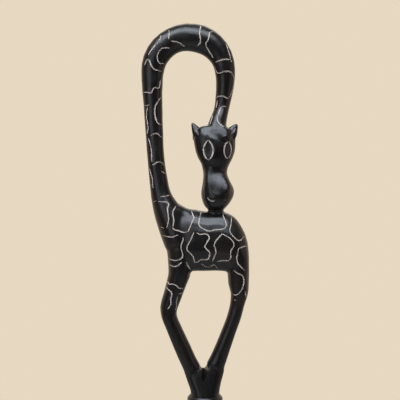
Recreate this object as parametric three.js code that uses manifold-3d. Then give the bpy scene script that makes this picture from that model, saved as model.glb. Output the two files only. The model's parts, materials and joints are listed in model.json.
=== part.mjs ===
// A carved walking stick whose grip is a giraffe that bends its neck in a loop and rests its muzzle on its own back.
// It comes apart into three lengths, each about as long as a forearm, that screw together.
// Millimetres, +Z up. The origin is the centre of the rubber tip's underside, on the axis of the shaft.
// The giraffe stands in the XZ plane with its chest towards -X, and its face looks out towards -Y.

import * as THREE from "three";
import { mergeVertices } from "three/addons/utils/BufferGeometryUtils.js";
import Module from "manifold-3d";

const wasm = await Module();
wasm.setup();

// Clearances
const GLUE_GAP = 0.1; // round a stud, insert or ferrule in its bore
const FACE_GAP = 0.05; // between two end faces that meet
const THREAD_GAP = 0.22; // radial, between the stud's thread and the insert's
const OVERRUN = 2; // how far a cutting tool runs past the face that it cuts
const MERGE_DISTANCE = 1e-4; // corners closer than this are one corner

// Rubber tip, and the steel disc inside it
const TIP_SOLE = 9; // rubber below the disc
const TIP_SOLE_RADIUS = 18;
const TIP_SOLE_HEIGHT = 7;
const TIP_MOUTH_RADIUS = 12.6;
const TIP_HEIGHT = 46;
const TIP_WAIST_HEIGHT = 21;
const TIP_WAIST_RADIUS = 13.9;
const TIP_CROWN_ROUND = 1.6;
const TREAD_RADIUS = 7.5; // inner radius of the first ring cut in the sole
const TREAD_WIDTH = 1.8;
const TREAD_DEPTH = 1.5;
const TREAD_PITCH = 5;
const TREAD_COUNT = 2;
const TIP_DISC_THICKNESS = 1.5;

// Shafts
const LOWER_SHAFT_LENGTH = 289.4;
const UPPER_SHAFT_LENGTH = 298.3;
const LOWER_SHAFT_FOOT_RADIUS = 9.3; // the straight end that the rubber tip grips
const LOWER_SHAFT_TOP_RADIUS = 10.9;
const UPPER_SHAFT_FOOT_RADIUS = 11;
const UPPER_SHAFT_TOP_RADIUS = 12.2;
const FOOT_CHAMFER = 0.8;
const UPPER_COLLAR_RADIUS = 15;
const UPPER_COLLAR_HEIGHT = 12;
const LOWER_COLLAR_RADIUS = 13.7;
const LOWER_COLLAR_HEIGHT = 11;
const COLLAR_TOP_ROUND = 1.3;
const COLLAR_FOOT_ROUND = 2.6;
const COVE_HEIGHT = 5; // the hollow under a collar
const COVE_DEPTH = 0.6;
const BEAD_HEIGHT = 4; // the small bead under the hollow
const BEAD_PROUD = 1;

// Screw joints: a steel stud stands out of each shaft's top and turns into a brass insert above it.
// A fibre washer lies round the stud in a recess of the shaft's top.
const THREAD_PITCH = 1.25;
const STUD_CREST_RADIUS = 3.95;
const STUD_ROOT_RADIUS = 3.25;
const STUD_EMBEDDED = 30;
const STUD_SHORT_OF_INSERT = 1; // the stud's tip ends this far below the insert's end
const STUD_TIP_CHAMFER = 0.8;
const INSERT_LENGTH = 12;
const INSERT_WALL = 1.9; // from the thread's crest to the barbs
const INSERT_BARB_DEPTH = 0.5;
const INSERT_BARB_COUNT = 4;
const INSERT_FLANGE_THICKNESS = 1.2;
const INSERT_FLANGE_PROUD = 1.3; // how far the flange stands out past the barbs
const BORE_BEYOND_INSERT = 1;
const WASHER_THICKNESS = 1;
const WASHER_PROUD = 0.2; // how far the washer stands above its recess
const WASHER_WIDTH = 4.4;

// The carved giraffe. Its places are shares of these two, counted from the shaft's axis and from the joint face.
const CARVING_WIDTH = 91.4;
const CARVING_HEIGHT = 315.1;
const BASE_RADIUS = 12.4; // the round end under the feet
const NECK_THICKNESS = 14.5; // at its slimmest
const CROWN_THICKNESS = 24.2; // at the top of the loop, seen from the side
const CROWN_DEPTH = 20.5;
const LOOP_RADIUS = 31.1; // of the loop's centre line
const TRUNK_HEIGHT = 51;
const TRUNK_DEPTH = 30;
const SHIN_THICKNESS = 13.5;
const SKULL_WIDTH = 35.7;
const SKULL_DEPTH = 24;
const MUZZLE_SINK = 2.8; // how deep the muzzle's end runs into the back
const HEAD_TURN = THREE.MathUtils.degToRad(10); // the face looks a little towards +X
const EAR_LENGTH = 13;
const EAR_WIDTH = 9.6;
const EAR_THICKNESS = 5;
const EAR_LEAN = THREE.MathUtils.degToRad(21);

// How finely round things are faceted
const ROUND_SIDES = 24;
const THREAD_SIDES = 12;
const NECK_SIDES = 20;
const NECK_STEPS = 52;
const LEG_SIDES = 16;
const LEG_STEPS = 30;
const TRUNK_STEPS = 22;
const HEAD_STEPS = 36;
const FEET_STEPS = 8;
const EAR_SIDES = 10;
const CORNER_STEPS = 3;

// One turn of the thread: [share of the pitch, share of the way from root to crest]
const THREAD_FORM_SHARES = [
  [0, 0],
  [0.15, 0],
  [0.45, 1],
  [0.7, 1],
];

// The centre line and size of each limb of the carving. A row is [x, z, thickness, depth], as shares of the carving's
// width, of its height and twice of the size named beside the table.
const LOOP_CENTRE_X_SHARE = -0.15;

// Of NECK_THICKNESS, from inside the shoulder upwards
const NECK_RISE_SHARES = [
  [-0.2, 0.38, 1.6, 1.5],
  [-0.251, 0.415, 1.76, 1.96],
  [-0.302, 0.455, 1.7, 1.84],
  [-0.353, 0.493, 1.58, 1.62],
  [-0.395, 0.522, 1.32, 1.36],
  [-0.418, 0.549, 1.14, 1.17],
  [-0.435, 0.582, 1.07, 1.05],
  [-0.455, 0.63, 1, 1],
  [-0.467, 0.684, 1.02, 1],
  [-0.477, 0.738, 1.07, 1.03],
  [-0.486, 0.792, 1.14, 1.08],
  [-0.49, 0.835, 1.24, 1.15],
];

// Of CROWN_THICKNESS and CROWN_DEPTH alike, at equal angles round the loop
const LOOP_THICKNESS_SHARES = [0.78, 0.86, 0.9, 0.92, 0.98, 0.98, 0.9, 0.79, 0.7];

// Of NECK_THICKNESS, from the loop down into the back of the head
const NECK_FALL_SHARES = [
  [0.189, 0.832, 1.07, 1.1],
  [0.174, 0.8, 0.95, 1],
  [0.151, 0.765, 0.89, 0.95],
  [0.123, 0.738, 1, 1],
  [0.102, 0.712, 1.17, 1.1],
];

// Of TRUNK_HEIGHT and TRUNK_DEPTH, from the chest to the rump
const TRUNK_SHARES = [
  [-0.307, 0.415, 0.57, 0.5],
  [-0.242, 0.415, 0.83, 0.78],
  [-0.14, 0.415, 1.03, 0.95],
  [0.009, 0.411, 0.99, 0.98],
  [0.13, 0.412, 1, 1],
  [0.214, 0.408, 0.98, 0.98],
  [0.279, 0.396, 0.98, 0.93],
  [0.325, 0.386, 0.9, 0.84],
  [0.363, 0.371, 0.83, 0.7],
  [0.391, 0.355, 0.72, 0.5],
  [0.406, 0.339, 0.5, 0.25],
];

// Of SHIN_THICKNESS, from inside the shoulder to the foot
const FORELEG_SHARES = [
  [-0.245, 0.452, 1.45, 1.35],
  [-0.242, 0.406, 1.63, 1.93],
  [-0.235, 0.369, 1.52, 1.85],
  [-0.235, 0.331, 1.45, 1.74],
  [-0.256, 0.307, 1.3, 1.59],
  [-0.288, 0.277, 1.21, 1.41],
  [-0.316, 0.253, 1.16, 1.26],
  [-0.336, 0.231, 1.1, 1.17],
  [-0.333, 0.21, 1.01, 1.1],
  [-0.301, 0.185, 0.95, 1.05],
  [-0.232, 0.139, 1.01, 1.04],
  [-0.182, 0.107, 1.03, 1.05],
  [-0.138, 0.08, 1.06, 1.08],
  [-0.093, 0.053, 1.15, 1.19],
  [-0.051, 0.026, 1.26, 1.33],
];

// Of SHIN_THICKNESS, from inside the rump to the foot
const HIND_LEG_SHARES = [
  [0.242, 0.42, 1.89, 2],
  [0.284, 0.382, 1.58, 1.93],
  [0.307, 0.339, 1.41, 1.74],
  [0.314, 0.301, 1.33, 1.52],
  [0.32, 0.272, 1.1, 1.3],
  [0.302, 0.245, 0.93, 1.11],
  [0.281, 0.22, 0.89, 1.04],
  [0.246, 0.188, 0.89, 1.01],
  [0.206, 0.156, 0.93, 1.01],
  [0.164, 0.123, 0.98, 1.02],
  [0.124, 0.095, 1.08, 1.05],
  [0.084, 0.067, 1.18, 1.15],
  [0.047, 0.037, 1.26, 1.3],
  [0.028, 0.021, 1.26, 1.33],
];

// Of twice BASE_RADIUS, from the joint face up to the fork of the legs
const FEET_SHARES = [
  [0, 0, 1, 1],
  [0, 0.007, 1, 1],
  [-0.005, 0.029, 1.13, 0.95],
  [-0.007, 0.045, 1.25, 0.84],
  [-0.008, 0.058, 1.36, 0.72],
  [-0.008, 0.066, 1.42, 0.6],
];

// The head hangs from its crown, a share of the carving's height, down to the back, which is the trunk's top there.
const HEAD_CROWN_SHARE = 0.721;
const BACK_SHARE = 0.412; // the height of the trunk's middle under the muzzle

// A row is [x, rise, width, front, back]: rise is counted from the muzzle's end up to the crown, front and back are the
// depths before and behind the middle, as shares of SKULL_DEPTH, and the width is one of SKULL_WIDTH.
const HEAD_SHARES = [
  [0.079, 1, 0.58, 0.26, 0.3],
  [0.081, 0.97, 0.8, 0.36, 0.38],
  [0.088, 0.924, 0.94, 0.44, 0.43],
  [0.088, 0.844, 1, 0.5, 0.46],
  [0.093, 0.764, 0.98, 0.53, 0.47],
  [0.094, 0.696, 0.93, 0.53, 0.46],
  [0.095, 0.629, 0.82, 0.5, 0.44],
  [0.098, 0.582, 0.71, 0.46, 0.42],
  [0.094, 0.527, 0.62, 0.41, 0.4],
  [0.095, 0.468, 0.58, 0.4, 0.39],
  [0.101, 0.414, 0.61, 0.46, 0.38],
  [0.109, 0.354, 0.68, 0.54, 0.38],
  [0.116, 0.3, 0.76, 0.58, 0.38],
  [0.116, 0.241, 0.79, 0.58, 0.37],
  [0.112, 0.186, 0.74, 0.55, 0.36],
  [0.105, 0.127, 0.63, 0.46, 0.32],
  [0.101, 0.084, 0.5, 0.36, 0.27],
  [0.102, 0.042, 0.33, 0.27, 0.2],
  [0.102, 0, 0.28, 0.22, 0.18],
];

// The middle of each ear, the one nearer the chest first
const EAR_CENTRE_SHARES = [
  [-0.095, 0.709],
  [0.262, 0.705],
];

// Heights of the faces, from the floor up
const WASHER_RECESS = WASHER_THICKNESS - WASHER_PROUD;
const JOINT_STEP = WASHER_PROUD + 2 * FACE_GAP; // from one shaft's top to the next piece's foot
const LOWER_SHAFT_BASE = TIP_SOLE + TIP_DISC_THICKNESS + 2 * FACE_GAP;
const LOWER_SHAFT_TOP = LOWER_SHAFT_BASE + LOWER_SHAFT_LENGTH;
const UPPER_SHAFT_BASE = LOWER_SHAFT_TOP + JOINT_STEP;
const UPPER_SHAFT_TOP = UPPER_SHAFT_BASE + UPPER_SHAFT_LENGTH;
const HANDLE_BASE = UPPER_SHAFT_TOP + JOINT_STEP;
const LOOP_TOP = HANDLE_BASE + CARVING_HEIGHT;

// What follows from the screw joint's sizes
const STUD_REACH = JOINT_STEP + INSERT_LENGTH - STUD_SHORT_OF_INSERT;
const STUD_BORE_RADIUS = STUD_CREST_RADIUS + GLUE_GAP;
const INSERT_RADIUS = STUD_CREST_RADIUS + THREAD_GAP + INSERT_WALL;
const INSERT_FLANGE_RADIUS = INSERT_RADIUS + INSERT_FLANGE_PROUD;
const WASHER_HOLE_RADIUS = STUD_CREST_RADIUS + THREAD_GAP;
const WASHER_RADIUS = WASHER_HOLE_RADIUS + WASHER_WIDTH;

// Finishes
const blackWood = new THREE.MeshStandardMaterial({ color: 0x1c1a1b, roughness: 0.38, metalness: 0 });
const steel = new THREE.MeshStandardMaterial({ color: 0xa9abad, roughness: 0.35, metalness: 1 });
const brass = new THREE.MeshStandardMaterial({ color: 0xb8924a, roughness: 0.35, metalness: 1 });
const rubber = new THREE.MeshStandardMaterial({ color: 0x202020, roughness: 0.85, metalness: 0 });
const fibre = new THREE.MeshStandardMaterial({ color: 0x2e2420, roughness: 0.8, metalness: 0 });

// A closed three.js geometry as a solid that can be cut and joined.
function solidOf(geometry) {
  const bare = geometry.clone();
  bare.deleteAttribute("normal");
  bare.deleteAttribute("uv");
  const merged = mergeVertices(bare, MERGE_DISTANCE);
  return new wasm.Manifold(
    new wasm.Mesh({
      numProp: 3,
      vertProperties: merged.attributes.position.array,
      triVerts: new Uint32Array(merged.index.array),
    }),
  );
}

// The solid as a flat-shaded three.js geometry again.
function geometryOf(solid) {
  const mesh = solid.getMesh();
  const geometry = new THREE.BufferGeometry();
  geometry.setAttribute("position", new THREE.BufferAttribute(mesh.vertProperties, 3));
  geometry.setIndex(new THREE.BufferAttribute(mesh.triVerts, 1));
  const flat = geometry.toNonIndexed();
  flat.computeVertexNormals();
  return flat;
}

// Turns a profile of [radius, height] points about Z. The profile starts and ends on the axis, or closes on itself.
function turned(profile, sides = ROUND_SIDES) {
  const points = profile.map(([radius, height]) => new THREE.Vector2(radius, height));
  return solidOf(new THREE.LatheGeometry(points, sides).rotateX(Math.PI / 2));
}

// The points of an oval arc about [radius, height], from one angle to the other, in degrees.
function arc(radius, height, radiusAcross, radiusUp, from, to, steps = CORNER_STEPS) {
  return Array.from({ length: steps + 1 }, (_, i) => {
    const angle = THREE.MathUtils.degToRad(from + ((to - from) * i) / steps);
    return [radius + radiusAcross * Math.cos(angle), height + radiusUp * Math.sin(angle)];
  });
}

// A rod with a right-hand thread, from height 0 to the given length, with flat ends.
function threadedRod(length, crestRadius, rootRadius) {
  const perTurn = THREAD_FORM_SHARES.length;
  const turns = Math.ceil(length / THREAD_PITCH) + 2;
  const rowCount = turns * perTurn;
  const vertex = (side, row) => side * rowCount + row;
  const positions = [];
  const indices = [];
  for (let side = 0; side < THREAD_SIDES; side++) {
    const turnShare = side / THREAD_SIDES;
    const angle = turnShare * 2 * Math.PI;
    for (let row = 0; row < rowCount; row++) {
      const [riseShare, crestShare] = THREAD_FORM_SHARES[row % perTurn];
      const radius = rootRadius + crestShare * (crestRadius - rootRadius);
      const height = (Math.floor(row / perTurn) + riseShare + turnShare - 1) * THREAD_PITCH;
      positions.push(radius * Math.cos(angle), radius * Math.sin(angle), height);
    }
  }

  // After a whole turn the helix has climbed one pitch, so the last side joins the first one a turn higher.
  for (let side = 0; side < THREAD_SIDES; side++) {
    const last = side === THREAD_SIDES - 1;
    const next = (row) => (last ? vertex(0, row + perTurn) : vertex(side + 1, row));
    for (let row = 0; row + 1 < rowCount - (last ? perTurn : 0); row++) {
      indices.push(vertex(side, row), next(row), next(row + 1));
      indices.push(vertex(side, row), next(row + 1), vertex(side, row + 1));
    }
  }

  // Each end is a fan about a point on the axis. Its rim steps from the last side to the first along one turn's rows.
  const foot = positions.length / 3;
  const head = foot + 1;
  positions.push(0, 0, -THREAD_PITCH);
  positions.push(0, 0, turns * THREAD_PITCH);
  const footRim = Array.from({ length: THREAD_SIDES }, (_, side) => vertex(side, 0));
  const headRim = Array.from({ length: THREAD_SIDES }, (_, side) => vertex(side, rowCount - 1));
  for (let row = perTurn; row > 0; row--) footRim.push(vertex(0, row));
  for (let row = 2; row <= perTurn + 1; row++) headRim.push(vertex(THREAD_SIDES - 1, rowCount - row));
  footRim.forEach((corner, i) => indices.push(foot, footRim[(i + 1) % footRim.length], corner));
  headRim.forEach((corner, i) => indices.push(head, corner, headRim[(i + 1) % headRim.length]));

  const geometry = new THREE.BufferGeometry();
  geometry.setAttribute("position", new THREE.Float32BufferAttribute(positions, 3));
  geometry.setIndex(indices);
  const blankRadius = crestRadius + OVERRUN;
  const blank = turned([[0, 0], [blankRadius, 0], [blankRadius, length], [0, length]]);
  return solidOf(geometry).intersect(blank);
}

// A limb of the carving: a unit cylinder whose rings are moved along stations, each { x, y, z, wide, deep }.
// wide is the half thickness across the limb in the XZ plane, and deep the half thickness in Y.
// A ring stands square to the limb's line, or to the axis if one is given. turn swings it about that direction.
function limb(stations, sides, steps, axis = null, turn = 0) {
  const curve = (points) => new THREE.CatmullRomCurve3(points, false, "catmullrom");
  const line = curve(stations.map(({ x, y, z }) => new THREE.Vector3(x, y, z)));
  const size = curve(stations.map(({ wide, deep }) => new THREE.Vector3(wide, deep, 0)));
  const geometry = new THREE.CylinderGeometry(1, 1, 1, sides, steps);
  const position = geometry.attributes.position;
  for (let i = 0; i < position.count; i++) {
    const along = THREE.MathUtils.clamp(position.getY(i) + 1 / 2, 0, 1);
    const centre = line.getPoint(along);
    const normal = axis ?? line.getTangent(along).setY(0).normalize();
    const { x: wide, y: deep } = size.getPoint(along);
    const corner = new THREE.Vector3(-normal.z, 0, normal.x)
      .multiplyScalar(position.getX(i) * wide)
      .setY(position.getZ(i) * deep)
      .applyAxisAngle(normal, turn)
      .add(centre);
    position.setXYZ(i, corner.x, corner.y, corner.z);
  }
  return solidOf(geometry);
}

// Places in the carving's middle plane, from shares of its width and height.
function place(xShare, zShare) {
  return { x: xShare * CARVING_WIDTH, y: 0, z: HANDLE_BASE + zShare * CARVING_HEIGHT };
}

function stationsOf(shares, thickness, depth = thickness) {
  return shares.map(([xShare, zShare, thicknessShare, depthShare]) => ({
    ...place(xShare, zShare),
    wide: (thickness * thicknessShare) / 2,
    deep: (depth * depthShare) / 2,
  }));
}

// The neck: up from the shoulder, round the loop and down to the back of the head.
function neck() {
  const centre = place(LOOP_CENTRE_X_SHARE, 0);
  centre.z = LOOP_TOP - CROWN_THICKNESS / 2 - LOOP_RADIUS;
  const loop = LOOP_THICKNESS_SHARES.map((thicknessShare, i) => {
    const angle = Math.PI * (1 - i / (LOOP_THICKNESS_SHARES.length - 1));
    return {
      x: centre.x + LOOP_RADIUS * Math.cos(angle),
      y: 0,
      z: centre.z + LOOP_RADIUS * Math.sin(angle),
      wide: (CROWN_THICKNESS * thicknessShare) / 2,
      deep: (CROWN_DEPTH * thicknessShare) / 2,
    };
  });
  const rise = stationsOf(NECK_RISE_SHARES, NECK_THICKNESS);
  const fall = stationsOf(NECK_FALL_SHARES, NECK_THICKNESS);
  return limb([...rise, ...loop, ...fall], NECK_SIDES, NECK_STEPS);
}

function trunk() {
  const along = new THREE.Vector3(1, 0, 0);
  return limb(stationsOf(TRUNK_SHARES, TRUNK_HEIGHT, TRUNK_DEPTH), NECK_SIDES, TRUNK_STEPS, along);
}

// Each pair of legs is carved as one bar.
function legs(shares) {
  return limb(stationsOf(shares, SHIN_THICKNESS), LEG_SIDES, LEG_STEPS);
}

// Where the feet run together into the round end that meets the shaft.
function feet() {
  const up = new THREE.Vector3(0, 0, 1);
  return limb(stationsOf(FEET_SHARES, 2 * BASE_RADIUS), ROUND_SIDES, FEET_STEPS, up);
}

// The head hangs from the neck with its face to the front.
function head() {
  const down = new THREE.Vector3(0, 0, -1);
  const crown = HANDLE_BASE + HEAD_CROWN_SHARE * CARVING_HEIGHT;
  const muzzleEnd = HANDLE_BASE + BACK_SHARE * CARVING_HEIGHT + TRUNK_HEIGHT / 2 - MUZZLE_SINK;
  const stations = HEAD_SHARES.map(([xShare, riseShare, widthShare, frontShare, backShare]) => ({
    x: xShare * CARVING_WIDTH,
    y: (SKULL_DEPTH * (backShare - frontShare)) / 2,
    z: muzzleEnd + riseShare * (crown - muzzleEnd),
    wide: (SKULL_WIDTH * widthShare) / 2,
    deep: (SKULL_DEPTH * (frontShare + backShare)) / 2,
  }));
  return limb(stations, NECK_SIDES, HEAD_STEPS, down, -HEAD_TURN);
}

// An ear is a flattened cone that leans outwards. side is -1 for the one nearer the chest and 1 for the other.
function ear(side, [xShare, zShare]) {
  const { x, z } = place(xShare, zShare);
  const cone = new THREE.ConeGeometry(EAR_WIDTH / 2, EAR_LENGTH, EAR_SIDES);
  cone.scale(1, 1, EAR_THICKNESS / EAR_WIDTH);
  cone.rotateX(Math.PI / 2);
  cone.rotateY(side * EAR_LEAN);
  cone.translate(x, 0, z);
  return solidOf(cone);
}

// The hole in the wood round a threaded insert, bored from the face below: its wide mouth takes the flange.
function insertBore(face) {
  const mouthRadius = INSERT_FLANGE_RADIUS + GLUE_GAP;
  const boreRadius = INSERT_RADIUS + GLUE_GAP;
  const mouthTop = face + INSERT_FLANGE_THICKNESS + GLUE_GAP;
  const boreTop = face + INSERT_LENGTH + BORE_BEYOND_INSERT;
  return turned([
    [0, face - OVERRUN],
    [mouthRadius, face - OVERRUN],
    [mouthRadius, mouthTop],
    [boreRadius, mouthTop],
    [boreRadius, boreTop],
    [0, boreTop],
  ]);
}

function giraffeHandle() {
  const carving = neck()
    .add(trunk())
    .add(legs(FORELEG_SHARES))
    .add(legs(HIND_LEG_SHARES))
    .add(feet())
    .add(head())
    .add(ear(-1, EAR_CENTRE_SHARES[0]))
    .add(ear(1, EAR_CENTRE_SHARES[1]));
  return carving.subtract(insertBore(HANDLE_BASE));
}

// A brass insert in the wood above the given face, flush with it, barbed outside and threaded inside.
// Its thread is the one of the stud that stands on the shaft top below.
function threadedInsert(face, shaftTop) {
  const flangeTop = face + INSERT_FLANGE_THICKNESS;
  const barbHeight = (INSERT_LENGTH - INSERT_FLANGE_THICKNESS) / INSERT_BARB_COUNT;
  const barbs = Array.from({ length: INSERT_BARB_COUNT }, (_, i) => [
    [INSERT_RADIUS, flangeTop + barbHeight * i],
    [INSERT_RADIUS - INSERT_BARB_DEPTH, flangeTop + barbHeight * (i + 1)],
  ]).flat();
  const body = turned([
    [0, face],
    [INSERT_FLANGE_RADIUS, face],
    [INSERT_FLANGE_RADIUS, flangeTop],
    ...barbs,
    [0, face + INSERT_LENGTH],
  ]);
  const tapLength = face - shaftTop + INSERT_LENGTH + OVERRUN;
  const tap = threadedRod(tapLength, STUD_CREST_RADIUS + THREAD_GAP, STUD_ROOT_RADIUS + THREAD_GAP);
  return body.subtract(tap.translate([0, 0, shaftTop]));
}

// A steel stud: the plain shank is glued into the shaft's top, and the thread stands above it.
function stud(shaftTop) {
  const shankFoot = shaftTop - STUD_EMBEDDED;
  const shank = turned([
    [0, shankFoot],
    [STUD_CREST_RADIUS, shankFoot],
    [STUD_CREST_RADIUS, shaftTop - WASHER_RECESS],
    [STUD_ROOT_RADIUS, shaftTop],
    [0, shaftTop],
  ]);
  const tipTop = shaftTop + STUD_REACH;
  const blankRadius = STUD_CREST_RADIUS + STUD_TIP_CHAMFER;
  const threadFoot = shaftTop - WASHER_RECESS / 2;
  const blank = turned([
    [0, threadFoot],
    [blankRadius, threadFoot],
    [blankRadius, tipTop - 2 * STUD_TIP_CHAMFER],
    [STUD_CREST_RADIUS - STUD_TIP_CHAMFER, tipTop],
    [0, tipTop],
  ]);

  // The thread starts a whole pitch lower than the shaft's top, inside the shank, so that it runs in step.
  const thread = threadedRod(THREAD_PITCH + STUD_REACH + OVERRUN, STUD_CREST_RADIUS, STUD_ROOT_RADIUS);
  return shank.add(thread.translate([0, 0, shaftTop - THREAD_PITCH]).intersect(blank));
}

// The outline of a shaft's top: bead, hollow, collar, the washer's recess and the stud's bore.
function shaftTopProfile(top, shaftRadius, collarRadius, collarHeight) {
  const collarFoot = top - collarHeight;
  const beadMiddle = collarFoot - COVE_HEIGHT - BEAD_HEIGHT / 2;
  const footRadius = collarRadius - COLLAR_FOOT_ROUND;
  const topRadius = collarRadius - COLLAR_TOP_ROUND;
  const recessRadius = WASHER_RADIUS + GLUE_GAP;
  const boreFoot = top - STUD_EMBEDDED - GLUE_GAP;
  return [
    ...arc(shaftRadius, beadMiddle, BEAD_PROUD, BEAD_HEIGHT / 2, -90, 90, 2 * CORNER_STEPS),
    [shaftRadius - COVE_DEPTH, collarFoot - COVE_HEIGHT / 2],
    [shaftRadius, collarFoot],
    ...arc(footRadius, collarFoot + COLLAR_FOOT_ROUND, COLLAR_FOOT_ROUND, COLLAR_FOOT_ROUND, -90, 0),
    ...arc(topRadius, top - COLLAR_TOP_ROUND, COLLAR_TOP_ROUND, COLLAR_TOP_ROUND, 0, 90),
    [recessRadius, top],
    [recessRadius, top - WASHER_RECESS],
    [STUD_BORE_RADIUS, top - WASHER_RECESS],
    [STUD_BORE_RADIUS, boreFoot],
    [0, boreFoot],
  ];
}

function upperShaft() {
  const body = turned([
    [0, UPPER_SHAFT_BASE],
    [UPPER_SHAFT_FOOT_RADIUS - FOOT_CHAMFER, UPPER_SHAFT_BASE],
    [UPPER_SHAFT_FOOT_RADIUS, UPPER_SHAFT_BASE + FOOT_CHAMFER],
    ...shaftTopProfile(UPPER_SHAFT_TOP, UPPER_SHAFT_TOP_RADIUS, UPPER_COLLAR_RADIUS, UPPER_COLLAR_HEIGHT),
  ]);
  return body.subtract(insertBore(UPPER_SHAFT_BASE));
}

function lowerShaft() {
  return turned([
    [0, LOWER_SHAFT_BASE],
    [LOWER_SHAFT_FOOT_RADIUS - FOOT_CHAMFER, LOWER_SHAFT_BASE],
    [LOWER_SHAFT_FOOT_RADIUS, LOWER_SHAFT_BASE + FOOT_CHAMFER],
    [LOWER_SHAFT_FOOT_RADIUS, TIP_HEIGHT],
    ...shaftTopProfile(LOWER_SHAFT_TOP, LOWER_SHAFT_TOP_RADIUS, LOWER_COLLAR_RADIUS, LOWER_COLLAR_HEIGHT),
  ]);
}

// The washer that lies in a shaft top's recess, round the stud.
function jointWasher(shaftTop) {
  const foot = shaftTop - WASHER_RECESS + FACE_GAP;
  const top = foot + WASHER_THICKNESS;
  return turned([
    [WASHER_HOLE_RADIUS, foot],
    [WASHER_RADIUS, foot],
    [WASHER_RADIUS, top],
    [WASHER_HOLE_RADIUS, top],
    [WASHER_HOLE_RADIUS, foot],
  ]);
}

// The rubber tip: a cup that grips the shaft's foot, on a wide sole with ring treads.
function rubberTip() {
  const boreRadius = LOWER_SHAFT_FOOT_RADIUS + GLUE_GAP;
  const crownRadius = TIP_MOUTH_RADIUS - TIP_CROWN_ROUND;
  const treads = Array.from({ length: TREAD_COUNT }, (_, i) => {
    const inner = TREAD_RADIUS + TREAD_PITCH * i;
    const outer = inner + TREAD_WIDTH;
    return [[inner, 0], [inner, TREAD_DEPTH], [outer, TREAD_DEPTH], [outer, 0]];
  }).flat();
  return turned([
    [0, 0],
    ...treads,
    [TIP_SOLE_RADIUS, 0],
    [TIP_SOLE_RADIUS, TIP_SOLE_HEIGHT],
    [TIP_WAIST_RADIUS, TIP_WAIST_HEIGHT],
    ...arc(crownRadius, TIP_HEIGHT - TIP_CROWN_ROUND, TIP_CROWN_ROUND, TIP_CROWN_ROUND, 0, 90),
    [boreRadius, TIP_HEIGHT],
    [boreRadius, TIP_SOLE],
    [0, TIP_SOLE],
  ]);
}

function tipDisc() {
  const foot = TIP_SOLE + FACE_GAP;
  const top = foot + TIP_DISC_THICKNESS;
  return turned([[0, foot], [LOWER_SHAFT_FOOT_RADIUS, foot], [LOWER_SHAFT_FOOT_RADIUS, top], [0, top]]);
}

function piece(name, solid, material) {
  const mesh = new THREE.Mesh(geometryOf(solid), material);
  mesh.name = name;
  return mesh;
}

const stick = new THREE.Group();
stick.add(
  new THREE.Group().add(
    piece("giraffe_handle", giraffeHandle(), blackWood),
    piece("handle_insert", threadedInsert(HANDLE_BASE, UPPER_SHAFT_TOP), brass),
  ),
  piece("upper_joint_washer", jointWasher(UPPER_SHAFT_TOP), fibre),
  new THREE.Group().add(
    piece("upper_shaft", upperShaft(), blackWood),
    piece("upper_shaft_stud", stud(UPPER_SHAFT_TOP), steel),
    piece("upper_shaft_insert", threadedInsert(UPPER_SHAFT_BASE, LOWER_SHAFT_TOP), brass),
  ),
  piece("lower_joint_washer", jointWasher(LOWER_SHAFT_TOP), fibre),
  new THREE.Group().add(
    piece("lower_shaft", lowerShaft(), blackWood),
    piece("lower_shaft_stud", stud(LOWER_SHAFT_TOP), steel),
  ),
  new THREE.Group().add(piece("rubber_tip", rubberTip(), rubber), piece("tip_disc", tipDisc(), steel)),
);

export default stick;
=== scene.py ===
# %% [markdown]
# A carved walking stick, black and polished. Its grip is a giraffe: the neck goes up, loops over and comes down, and
# the head hangs with its muzzle on its own back. The loop is where the hand goes, and where the stick hangs when it
# isn't used. The stick unscrews into three lengths. The shapes that carry and fasten are already there, in the packed
# frame. This script gives them their looks.

# %% Load the frame
import json
import math

import bmesh
import bpy
import numpy as np
from mathutils import Matrix, Vector, noise
from mathutils.bvhtree import BVHTree

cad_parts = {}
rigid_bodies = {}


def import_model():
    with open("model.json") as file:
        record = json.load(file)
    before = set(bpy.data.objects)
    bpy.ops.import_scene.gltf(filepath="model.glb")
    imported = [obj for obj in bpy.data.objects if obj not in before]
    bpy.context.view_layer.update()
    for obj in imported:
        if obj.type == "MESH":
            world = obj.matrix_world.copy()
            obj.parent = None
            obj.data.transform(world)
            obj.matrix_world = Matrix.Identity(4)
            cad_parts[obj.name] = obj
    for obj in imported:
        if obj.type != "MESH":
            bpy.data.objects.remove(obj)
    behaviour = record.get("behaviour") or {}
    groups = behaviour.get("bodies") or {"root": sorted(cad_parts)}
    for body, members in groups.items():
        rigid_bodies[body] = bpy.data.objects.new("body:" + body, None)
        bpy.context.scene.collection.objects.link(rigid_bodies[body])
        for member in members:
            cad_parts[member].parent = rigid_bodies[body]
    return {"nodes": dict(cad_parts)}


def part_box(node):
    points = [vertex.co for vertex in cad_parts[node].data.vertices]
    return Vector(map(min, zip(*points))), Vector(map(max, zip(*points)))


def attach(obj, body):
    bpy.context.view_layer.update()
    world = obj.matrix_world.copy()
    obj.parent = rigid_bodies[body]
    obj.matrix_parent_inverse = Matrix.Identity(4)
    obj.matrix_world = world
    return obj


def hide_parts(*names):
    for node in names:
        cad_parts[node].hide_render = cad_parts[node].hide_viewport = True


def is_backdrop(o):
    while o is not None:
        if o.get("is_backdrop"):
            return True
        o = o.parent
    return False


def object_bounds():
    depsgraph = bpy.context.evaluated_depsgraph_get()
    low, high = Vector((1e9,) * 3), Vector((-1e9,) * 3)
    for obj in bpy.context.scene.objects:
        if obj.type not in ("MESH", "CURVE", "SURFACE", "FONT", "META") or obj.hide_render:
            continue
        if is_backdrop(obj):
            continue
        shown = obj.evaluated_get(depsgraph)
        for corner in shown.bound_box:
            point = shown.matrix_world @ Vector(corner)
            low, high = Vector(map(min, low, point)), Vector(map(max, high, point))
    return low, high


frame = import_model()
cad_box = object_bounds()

MM = 0.001

# %% [markdown]
# The photograph is 400 pixels square and shows the grip from the front. A place read off it becomes a place on the
# carving through one scale. The camera stands level with the middle of the grip, as far off as a person would, because
# the collar at the bottom shows a little of its top.

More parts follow.
